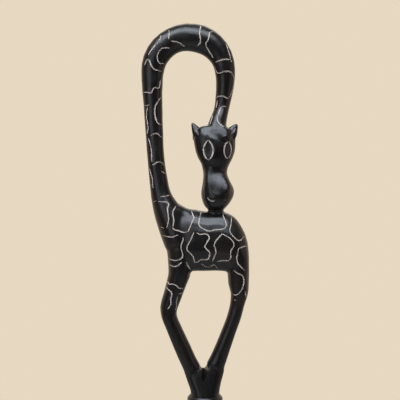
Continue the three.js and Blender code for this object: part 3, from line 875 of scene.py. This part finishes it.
# %% The routes on the body and the legs
BODY_ROUTES = [
    [(152.5, 203), (156, 200.5)],
    [(158, 201.5), (163, 201.5), (167.5, 202), (169, 204), (167.5, 207), (167.5, 211), (168.5, 216), (168.5, 220),
     (167.5, 225), (166.5, 228)],
    [(176, 206), (174, 209), (172.5, 212), (173, 216), (174, 220), (173, 225), (172.5, 228.5), (176, 230), (180, 231),
     (184, 232.5), (188, 231.5), (189.5, 228), (191, 224), (193, 220), (194, 217.5), (192.5, 214), (191.5, 211)],
    [(160, 226.5), (162, 227.5), (164, 228)],
    [(163, 235.5), (167, 236.5), (172, 237), (176, 235.5), (178, 235)],
    [(201, 212), (200, 216), (199, 220), (198.5, 224), (200, 226.5), (204, 229), (208, 231), (212, 230.5),
     (215, 229.5), (220, 229.5), (225, 228), (226.5, 225), (225.5, 221), (223.5, 217), (223, 213)],
    [(231.5, 217), (231, 224), (230.5, 226), (229.5, 230), (231, 234), (234, 237), (238, 240.5), (241, 240),
     (243, 237.5), (245.5, 235.5)],
    [(183, 237), (183, 240), (181, 245), (181, 249), (182.5, 253), (182.5, 257), (180, 259.5), (175, 260.5),
     (171, 259.5), (168.5, 258.5)],
    [(169.5, 264.5), (172, 266), (176, 266.5), (179, 264.5), (182, 262)],
    [(194, 232), (192.5, 235), (190.5, 240), (187, 246), (187, 250), (190, 253), (193, 256), (194, 260),
     (194.5, 262.5), (198, 262), (200, 260), (203, 259.5), (208, 259.5), (209.5, 256), (210, 252.5), (206.5, 249),
     (204.5, 246), (207, 242), (209.5, 238), (208.5, 235), (205, 233.5), (200, 234.5), (196.5, 232.5)],
    [(212.5, 261), (214, 257), (216, 253), (215.5, 249), (214, 245), (215.5, 241), (219, 237), (222, 233.5),
     (226, 235.5), (230, 238), (233.5, 242), (234, 246), (231, 250), (230.5, 253), (231, 257), (229.5, 260)],
    [(217, 262), (220, 260.5), (225, 260.5), (229, 260.5)],
    [(202, 264), (205, 266.5), (209, 267.5), (212, 265.5), (214.5, 264.5), (217, 268), (218, 269)],
    [(186, 262), (188, 266), (190.5, 270)],
    [(247.5, 245.5), (243, 246.5), (238.5, 248.5), (237.5, 253), (236.5, 258), (237.5, 263), (241, 267),
     (245, 270.5)],
    [(233.5, 270), (237, 273), (242, 275), (244, 279), (243.5, 285), (241.5, 290), (238, 294), (235, 295),
     (233, 294)],
    [(245, 291), (246, 297)],
    [(167.5, 281), (169, 284), (173, 284), (176, 285), (179, 288), (182, 288.5), (184.5, 287.5)],
    [(165.5, 286), (168, 289), (171, 291.5), (172, 295), (170.5, 299), (171, 304), (169.5, 307), (167.5, 309)],
    [(184, 292), (181, 293.5), (178.5, 294)],
    [(178, 296), (176.5, 301), (176.5, 306), (175.5, 310)],
    [(234.3, 299.6), (235.8, 300.4)],
]
print("routes on the body:", len(BODY_ROUTES))

# %% [markdown]
# The eyes are almond outlines, cut a little wider. The nostrils are short slits, and a dusty line runs round the mouth
# close to the outline and under the chin, where the muzzle lies on the back.

# %% The routes on the face
EYE_ROUTES = [
    [(208, 139.8), (205.6, 142.5), (203.9, 146), (203.2, 149.5), (203.9, 153.5), (205.6, 157.5), (208.5, 159.8),
     (211.2, 157), (212.8, 153), (213.1, 149), (212.1, 145), (210.3, 142), (208.3, 139.9)],
    [(228, 141.3), (225.6, 143.6), (224.3, 147.5), (224, 151.5), (224.8, 155.5), (226.8, 158.2), (229.3, 156.8),
     (231, 153.2), (231.4, 149), (230.6, 145), (229.5, 142.5), (228.2, 141.4)],
]
NOSTRIL_ROUTES = [
    [(207.7, 197.4), (208.5, 199.2), (211.0, 200.7), (214.5, 200.8)],
    [(223.6, 200.3), (225.6, 199.8), (227.4, 198.7)],
]
MOUTH_ROUTES = [
    [(204.8, 179), (204.0, 184), (203.8, 189), (204.1, 195), (205.0, 200), (206.6, 204.2), (209.0, 207.6)],
    [(231.0, 184.5), (231.9, 190), (231.3, 196), (229.2, 201), (226.2, 205.3), (222.8, 208.3)],
    [(207, 210.2), (212, 210.8), (217, 210.9), (222, 210.4)],
]
print("routes on the face:", len(EYE_ROUTES) + len(NOSTRIL_ROUTES) + len(MOUTH_ROUTES))

# %% [markdown]
# A route is walked in even steps with a slight tremble of the hand. On the back it also drifts off by up to three
# pixels where the wood is thick, so that the two sides aren't copies but still meet at the edges.

# %% Throw the routes onto the skin
ROUTE_STEP = 1.0  # pixels
TREMBLE = 0.22  # pixels
BACK_DRIFT = 3.0  # pixels
TREMBLE_RATE, DRIFT_RATE = 0.9, 1 / 14  # changes per pixel
THICK_WOOD = 6 * MM


def moved(pixel, amount, rate, *seeds):
    """A pixel moved by up to an amount in pixels, smoothly along its route."""
    across, up = (noise.noise(Vector((pixel[0] * rate, pixel[1] * rate, seed))) for seed in seeds)
    return pixel[0] + across * amount, pixel[1] + up * amount


def thrown(route, side):
    """The route as places on the skin and their normals, evenly spaced."""
    pixels = []
    for (u0, v0), (u1, v1) in zip(route, route[1:]):
        steps = max(1, round(math.hypot(u1 - u0, v1 - v0) / ROUTE_STEP))
        pixels += [(u0 + (u1 - u0) * i / steps, v0 + (v1 - v0) * i / steps) for i in range(steps)]
    places = []
    for pixel in pixels + [route[-1]]:
        pixel = moved(pixel, TREMBLE, TREMBLE_RATE, side, side + 9)
        if side < 0:
            depth = abs(landing(pixel, side)[0].y)
            pixel = moved(pixel, BACK_DRIFT * min(1, depth / THICK_WOOD), DRIFT_RATE, 5.5, 45.5)
        places.append(landing(pixel, side))
    return places


print("first landing:", tuple(round(c / MM, 1) for c in landing(NECK_ROUTES[0][0], 1)[0]), "mm")

# %% [markdown]
# The rods are one bevelled curve with a spline for each cut. A radius on each point makes a cut start fine, grow, and
# vary a little as the pressure of a hand does. The curve is made a mesh, its caps are joined, and it is a solid.

# %% Rods that cut the lines
LINE_RADIUS = 0.52 * MM
LINE_DEPTH = 0.05 * MM
TAPER = 2.5  # steps over which a line begins and ends
TAPER_START = 0.5
PRESSURE = 0.34  # how much the hand's pressure varies a line's width


def rods_mesh(group):
    """Closed round rods along places on the skin, thinner at both ends, as one mesh."""
    curve = bpy.data.curves.new("rods", "CURVE")
    curve.dimensions = "3D"
    curve.bevel_depth = 1
    curve.bevel_resolution = 1
    curve.use_fill_caps = True
    for material in WOODS:
        curve.materials.append(material)
    for seed, (_, places, radius, wood) in enumerate(group):
        points = [place - normal * LINE_DEPTH for place, normal in places]
        middle = [(a + b * 2 + c) / 4 for a, b, c in zip(points, points[1:], points[2:])]
        points = [points[0], *middle, points[-1]]
        spline = curve.splines.new("POLY")
        spline.material_index = wood
        spline.points.add(len(points) - 1)
        for i, (point, made) in enumerate(zip(points, spline.points)):
            end = min(i, len(points) - 1 - i)
            made.co = (*point, 1)
            made.radius = radius * min(1, TAPER_START + (1 - TAPER_START) * end / TAPER)
            made.radius *= 1 + PRESSURE * noise.noise(Vector((i * 0.27, seed * 7.7, 2.5)))
    thing = bpy.data.objects.new("rods", curve)
    bpy.context.collection.objects.link(thing)
    mesh = outcome(thing)
    bpy.data.objects.remove(thing)
    return written(sound(opened(mesh)), mesh)


# %% [markdown]
# Rods that touch each other would make a broken solid. So they are sorted into groups whose members keep apart, and
# each group is cut in one go.

# %% Cut the lines
APART = 3 * MM
CUTS = [
    # routes, sides, width against the coat's lines, which wood shows
    (NECK_ROUTES + BODY_ROUTES, (1, -1), 1.0, BARE),
    (EYE_ROUTES, (1,), 1.3, BARE),
    (NOSTRIL_ROUTES[:1], (1,), 1.5, BARE),
    (NOSTRIL_ROUTES[1:], (1,), 1.0, DUSTY),
    (MOUTH_ROUTES, (1,), 0.9, DUSTY),
]


def batches(rods):
    """Sorts the rods into groups in which no two come near each other."""
    groups = []
    for places, radius, wood in rods:
        points = np.array([place for place, _ in places])
        for group in groups:
            if all(np.linalg.norm(points[:, None] - other[0][None], axis=2).min() > APART for other in group):
                group.append((points, places, radius, wood))
                break
        else:
            groups.append([(points, places, radius, wood)])
    return groups


rods = [
    (thrown(route, side), LINE_RADIUS * width, wood)
    for routes, sides, width, wood in CUTS for side in sides for route in routes
]
groups = batches(rods)
for group in groups:
    carve(rods_mesh(group))
print("rods:", len(rods), "in", len(groups), "groups; faces after the cuts:", len(giraffe.data.polygons))

# %% [markdown]
# Last comes the foot of the carving: it is sawn flat at the joint and bored for the brass insert. The wood is bare in
# the bore and on the sawn face.

# %% Saw and bore the foot
BORE_MOUTH = (7.47, 1.3)  # radius and depth in millimetres
BORE = (6.17, 13.0)
SAW_RADIUS = 40
SAW_BELOW = 9


def insert_steps(face):
    """The two steps of an insert's bore above a face."""
    return [(radius, face + depth) for radius, depth in (BORE_MOUTH, BORE)]


sawn = stepped(foot - SAW_BELOW, (SAW_RADIUS, foot), *insert_steps(foot))
carve(meshed(turned([(0, foot - SAW_BELOW), *sawn]), "saw", DUSTY))
print("foot at", round(min(v.co.z for v in giraffe.data.vertices), 4))

# %% [markdown]
# Where cuts cross they leave slivers thinner than a hair, which are dissolved. Smooth shading suits rubbed wood, but an
# edge stays an edge where a cut begins and where two faces meet at more than fifty degrees.

# %% Shade it
SHARP = math.radians(50)
SLIVER = 0.003 * MM


def shaded(bm):
    for face in bm.faces:
        face.smooth = True
    for edge in bm.edges:
        kinds = {face.material_index for face in edge.link_faces}
        edge.smooth = len(kinds) == 1 and edge.calc_face_angle(0) < SHARP


bm = opened(giraffe.data)
bmesh.ops.triangulate(bm, faces=bm.faces)
bmesh.ops.dissolve_degenerate(bm, edges=bm.edges, dist=SLIVER)
bmesh.ops.delete(bm, geom=[edge for edge in bm.edges if edge.is_wire], context="EDGES")
shaded(bm)
triangles = sum(len(f.verts) - 2 for f in bm.faces)
print("triangles:", triangles, "open edges:", sum(len(e.link_faces) != 2 for e in bm.edges))
written(bm, giraffe.data)
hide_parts("giraffe_handle")
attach(giraffe, "handle")

# %% [markdown]
# The two lower lengths are lathe work in the same wood. Each is a slim cone with a collar at its top, and under the
# collar a hollow and a small bead. One outline of radius and height makes the whole length, the bores for the metal
# included, and a quarter-round is written as a run of short steps.

# %% Quarter-rounds, collars and feet for the lathe
def quarter(radius, height, across, up, start, end, steps):
    """Points of an arc about (radius, height), from one angle to another in degrees."""
    angles = [math.radians(start + (end - start) * i / steps) for i in range(steps + 1)]
    return [(radius + across * math.cos(a), height + up * math.sin(a)) for a in angles]


COLLAR_TOP = [(0, -3.2), (0.25, -2.55), (2.35, -0.25), (2.6, 0)]  # inwards and upwards from its outer edge
COLLAR_FOOT_ROUND = 2.6
COVE_HEIGHT = 5.0
COVE_DEPTH = 0.6
BEAD_HEIGHT = 4.0
BEAD_PROUD = 1.0
RECESS_RADIUS = 8.67
RECESS_DEPTH = 0.8
STUD_BORE_RADIUS = 4.05
STUD_BORE_DEPTH = 30.1
FOOT_ROUND = 0.8


def shaft_top(top, shaft, collar, collar_height):
    """The outline from the bead up over the collar and down into the stud's bore."""
    collar_foot = top - collar_height
    cove_foot = collar_foot - COVE_HEIGHT
    bead_foot = cove_foot - BEAD_HEIGHT
    cove_middle = (cove_foot + collar_foot) / 2
    return [
        *quarter(shaft, (bead_foot + cove_foot) / 2, BEAD_PROUD, BEAD_HEIGHT / 2, -90, 90, 12),
        *quarter(shaft, cove_middle, -COVE_DEPTH, COVE_HEIGHT / 2, -90, 90, 10)[1:],
        *quarter(collar - COLLAR_FOOT_ROUND, collar_foot + COLLAR_FOOT_ROUND, COLLAR_FOOT_ROUND, COLLAR_FOOT_ROUND,
                 -86, 0, 8),
        *[(collar - inwards, top + upwards) for inwards, upwards in COLLAR_TOP],
        *stepped(top, (RECESS_RADIUS, top - RECESS_DEPTH), (STUD_BORE_RADIUS, top - STUD_BORE_DEPTH)),
    ]


def foot_edge(foot, radius):
    """The rounded edge of a foot."""
    return quarter(radius - FOOT_ROUND, foot + FOOT_ROUND, FOOT_ROUND, FOOT_ROUND, -90, 0, 4)


print("collar of", len(shaft_top(0, 0, 0, 0)), "points, foot's edge of", len(foot_edge(0, 0)))

# %% [markdown]
# A turned piece is finished in one go: bare wood where it was cut last, smooth shading, and its place in the frame.

# %% Finish a piece that came off the lathe
def lathed(name, bm, body, slot, replaced, *materials, inner=None):
    """Makes a spun bmesh a piece. Faces that inner chooses get the last material."""
    for face in bm.faces:
        if inner and inner(face.calc_center_median() / MM):
            face.material_index = len(materials) - 1
    shaded(bm)
    made = link(name, written(bm, bpy.data.meshes.new(name)), *materials)
    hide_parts(replaced)
    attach(made, body)
    return made


# %% [markdown]
# The upper length ends below in a wide mouth for a brass insert. The wood is bare wherever the drill or the saw went
# after the staining: in the bores, in the recess for the washer and on the foot.

# %% Upper shaft
UPPER_TOP = 598.6
UPPER_FOOT = 300.3
UPPER_RADII = (11.0, 12.2)  # at the foot and under the collar
UPPER_COLLAR = (15.0, 12.0)  # radius and height
NEAR = 0.05  # millimetres
upper = turned([
    *stepped(UPPER_FOOT, *insert_steps(UPPER_FOOT))[::-1],
    *foot_edge(UPPER_FOOT, UPPER_RADII[0]),
    *shaft_top(UPPER_TOP, UPPER_RADII[1], *UPPER_COLLAR),
])


def cut_after_staining(centre, top, foot, foot_radius):
    """Whether a face lies in a bore, on the flat of the foot or in the washer's recess."""
    radius = math.hypot(centre.x, centre.y)
    in_bore = radius < RECESS_RADIUS - 2 * NEAR
    on_foot = abs(centre.z - foot) < NEAR and radius < foot_radius - FOOT_ROUND
    in_recess = centre.z > top - RECESS_DEPTH - 2 * NEAR and radius < RECESS_RADIUS + NEAR
    return in_bore or on_foot or in_recess


upper_piece = lathed(
    "turned_upper_shaft", upper, "upper_section", "black_wood", "upper_shaft", stained_wood, dusty_wood,
    inner=lambda centre: cut_after_staining(centre, UPPER_TOP, UPPER_FOOT, UPPER_RADII[0]),
)
print("upper shaft:", len(upper_piece.data.polygons), "faces")

# %% [markdown]
# The lower length is slimmer, and its last 35 mm are straight, where the rubber tip is pushed on.

# %% Lower shaft
LOWER_TOP = 300.0
LOWER_FOOT = 10.6
LOWER_RADII = (9.3, 10.9)
LOWER_COLLAR = (13.7, 11.0)
TIP_MOUTH = 46.0
lower = turned([
    (0, LOWER_FOOT),
    *foot_edge(LOWER_FOOT, LOWER_RADII[0]),
    (LOWER_RADII[0], TIP_MOUTH),
    *shaft_top(LOWER_TOP, LOWER_RADII[1], *LOWER_COLLAR),
])
lower_piece = lathed(
    "turned_lower_shaft", lower, "lower_section", "black_wood", "lower_shaft", stained_wood, dusty_wood,
    inner=lambda centre: cut_after_staining(centre, LOWER_TOP, LOWER_FOOT, LOWER_RADII[0]),
)
print("lower shaft:", len(lower_piece.data.polygons), "faces")

# %% [markdown]
# The rubber tip is moulded. Its rubber is a dark grey that has never been polished: floor dust has settled in it, and
# the mould has left it finely grained.

# %% Rubber
finish = Finish("moulded_rubber", Specular_IOR_Level=0.35)
dust = finish.clouds(60, detail=5, roughness=0.65)
grain = finish.clouds(3200, detail=2)
scuffs = finish.clouds(260, detail=5, roughness=0.75, stretch=(1, 1, 0.4), distortion=0.8)
pale = (dust.step(0.45, 0.75) * 0.55 + scuffs.step(0.56, 0.74) * 0.5).clamped()
rubber = finish.set(
    Base_Color=finish.mixed(pale, (0.0125, 0.0125, 0.013), (0.043, 0.041, 0.038)),
    Roughness=dust.step(0.3, 0.7) * 0.18 + 0.6, Normal=finish.bump(grain + scuffs * 0.6, 0.12 * MM, 0.5),
)
print("made", rubber.name)

# %% [markdown]
# The tip is a cup with a wide sole. Two ring treads are pressed into the sole and three thin grooves run round the
# neck. The outline gives the corners, and the bevel operator rounds the ones that a finger or the floor can reach.

# %% Rubber tip
SOLE_RADIUS = 17.98
SOLE_HEIGHT = 7.0
TREADS = ((7.5, 9.3), (12.5, 14.3))
TREAD_DEPTH = 1.5
WAIST = (13.9, 21.0)
MOUTH_OUTSIDE = 12.6
MOUTH_ROUND = 1.6
NECK_TOP = TIP_MOUTH - MOUTH_ROUND
CUP_RADIUS = 9.4
CUP_FLOOR = 9.0
NECK_GROOVES = (27.0, 32.0, 37.0)
GROOVE_WIDE = 1.1
GROOVE_DEEP = 0.4
ROUNDED = [
    # radius, height, how wide its rounding is
    (SOLE_RADIUS, 0, 0.7), (SOLE_RADIUS, SOLE_HEIGHT, 2.2), (*WAIST, 3.0), (CUP_RADIUS, TIP_MOUTH, 0.4),
    *((radius, 0, 0.3) for tread in TREADS for radius in tread),
]


def neck_radius(height):
    share = (height - WAIST[1]) / (NECK_TOP - WAIST[1])
    return WAIST[0] + (MOUTH_OUTSIDE - WAIST[0]) * share


def ring(bm, radius, height):
    """The edges of the ring at a radius and a height in millimetres."""
    def off(corner):
        return math.hypot(math.hypot(corner.co.x, corner.co.y) / MM - radius, corner.co.z / MM - height)

    return [edge for edge in bm.edges if all(off(corner) < NEAR / 2 for corner in edge.verts)]


sole = [(0, 0)]
for inside, outside in TREADS:
    sole += [(inside, 0), (inside, TREAD_DEPTH), (outside, TREAD_DEPTH), (outside, 0)]
neck_line = []
for height in NECK_GROOVES:
    low, high = height - GROOVE_WIDE / 2, height + GROOVE_WIDE / 2
    neck_line += [(neck_radius(low), low), (neck_radius(height) - GROOVE_DEEP, height), (neck_radius(high), high)]
tip = turned([
    *sole,
    (SOLE_RADIUS, 0),
    (SOLE_RADIUS, SOLE_HEIGHT),
    WAIST,
    *neck_line,
    *quarter(MOUTH_OUTSIDE - MOUTH_ROUND, NECK_TOP, MOUTH_ROUND, MOUTH_ROUND, 0, 90, 6),
    *stepped(TIP_MOUTH, (CUP_RADIUS, CUP_FLOOR)),
])
for radius, height, size in ROUNDED:
    bmesh.ops.bevel(
        tip, geom=ring(tip, radius, height), offset=size * MM, affect="EDGES", segments=4, profile=0.5, material=-1
    )
tip_piece = lathed("moulded_tip", tip, "tip", "rubber", "rubber_tip", rubber)
print("rubber tip:", len(tip_piece.data.polygons), "faces")

# %% [markdown]
# Brass is turned, so fine rings run round it, and its colour has gone brown in spots. The rings are clouds pressed
# flat: they change quickly along the stick and hardly at all across it.

# %% Brass
finish = Finish("turned_brass", Metallic=1.0)
rings = finish.clouds(900, stretch=(0.04, 0.04, 1))
tarnish = finish.clouds(260, detail=5, roughness=0.7)
brass = finish.set(
    Base_Color=finish.mixed(tarnish.step(0.42, 0.72), (0.72, 0.53, 0.22), (0.36, 0.22, 0.085)),
    Roughness=tarnish.step(0.35, 0.7) * 0.22 + 0.24, Normal=finish.bump(rings, 0.04 * MM, 0.5),
)
print("made", brass.name)

# %% [markdown]
# The studs and the disc are zinc plated steel: grey with a faint blue and yellow play, dull where the plating is
# worn. The washers are pressed fibre, brown and matt like hard cardboard.

# %% Zinc plated steel and pressed fibre
finish = Finish("plated_steel", Metallic=1.0)
play = finish.clouds(180, detail=4, roughness=0.6)
worn = finish.clouds(620, detail=5, roughness=0.7)
cool = finish.mixed(play.step(0.35, 0.65), (0.60, 0.62, 0.67), (0.66, 0.63, 0.55))
steel = finish.set(
    Base_Color=finish.mixed(worn.step(0.55, 0.75), cool, (0.30, 0.29, 0.28)),
    Roughness=worn.step(0.3, 0.7) * 0.25 + 0.28, Normal=finish.bump(worn, 0.05 * MM, 0.35),
)

finish = Finish("pressed_fibre", Specular_IOR_Level=0.3)
layers = finish.clouds(900, stretch=(0.3, 0.3, 2))
specks = finish.clouds(1400, detail=4, roughness=0.7)
fibre = finish.set(
    Base_Color=finish.mixed(specks.step(0.4, 0.7), (0.052, 0.027, 0.018), (0.10, 0.058, 0.038)),
    Roughness=layers.step(0.3, 0.7) * 0.15 + 0.72, Normal=finish.bump(specks + layers, 0.08 * MM, 0.5),
)
print("made", steel.name, fibre.name)

# %% [markdown]
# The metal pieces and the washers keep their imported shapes, because their threads and fits are right already. Only
# their finish is exchanged.

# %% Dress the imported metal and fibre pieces
DRESSED = {
    "handle_insert": brass,
    "upper_shaft_insert": brass,
    "upper_shaft_stud": steel,
    "lower_shaft_stud": steel,
    "tip_disc": steel,
    "upper_joint_washer": fibre,
    "lower_joint_washer": fibre,
}
for node, material in DRESSED.items():
    for slot in frame["nodes"][node].material_slots:
        slot.material = material
print("dressed:", ", ".join(DRESSED))

# %% [markdown]
# The floor is a plain pale disc. The stick hangs from its loop, and its foot stays clear of the floor, so that the two
# lower lengths have room to unscrew and the tip to come off. The disc ends before the main picture's lower edge, so
# that the grip stands against one even tone.

# %% Ground
FLOOR_RADIUS = 1.95
FLOOR_BELOW = 62 * MM  # the two screws open by 11 mm each, and the tip comes down by 35.5 mm
FLOOR_SIDES = 128
bm = bmesh.new()
bmesh.ops.create_circle(bm, cap_ends=True, segments=FLOOR_SIDES, radius=FLOOR_RADIUS)
bmesh.ops.translate(bm, verts=bm.verts, vec=(0, 0, -FLOOR_BELOW))
floor_mesh = written(bm, bpy.data.meshes.new("floor"))


def floor_paint():
    finish = Finish("floor_paint", Specular_IOR_Level=0.2)
    mottle = finish.clouds(3.0, detail=4)
    colour = finish.mixed(mottle.step(0.3, 0.7), (0.70, 0.66, 0.60), (0.74, 0.70, 0.64))
    return finish.set(Base_Color=colour, Roughness=mottle * 0.1 + 0.8)


link("floor", floor_mesh, floor_paint())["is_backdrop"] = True
print("floor laid")

# %% [markdown]
# The world is a warm cream behind the stick and round it, and dim in front of it, as a room is behind whoever looks.
# So the polished front mirrors something dark and stays black. The world is seen at one strength by the camera and by
# what mirrors it, and it lights the wood more weakly, so that the lamps still draw the forms.

# %% World
SEEN_STRENGTH = 1.0
LIT_STRENGTH = 0.16
CREAM = (0.80, 0.69, 0.535)
DIM = (0.11, 0.097, 0.085)
CREAM_FROM, DIM_FROM = 0.55, -0.45  # the look's direction along Y, which is 1 straight away from the camera
world = bpy.data.worlds.new("studio")
bpy.context.scene.world = world
world.use_nodes = True
backdrop = world.node_tree.nodes["Background"]
studio = Nodes(world.node_tree)
ahead = studio.node("SeparateXYZ", output="Y", Vector=studio.node("TexCoord", output="Generated"))
studio.fill(backdrop.inputs["Color"], studio.mixed(ahead.step(CREAM_FROM, DIM_FROM), CREAM, DIM))
seen = [studio.node("LightPath", output=f"Is {kind} Ray") for kind in ("Camera", "Glossy", "Transmission")]
strength = (seen[0] + seen[1] + seen[2]).clamped() * (SEEN_STRENGTH - LIT_STRENGTH) + LIT_STRENGTH
studio.fill(backdrop.inputs["Strength"], strength)
print("world strength", SEEN_STRENGTH, "seen,", LIT_STRENGTH, "lit")

# %% [markdown]
# Blender must not change the object's size. The box of the imported model and the box of the dressed one are printed
# side by side.

# %% Sizes
seen_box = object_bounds()
for corner, packed in zip(seen_box, cad_box):
    print([round(c / MM, 2) for c in corner], "packed", [round(c / MM, 2) for c in packed])
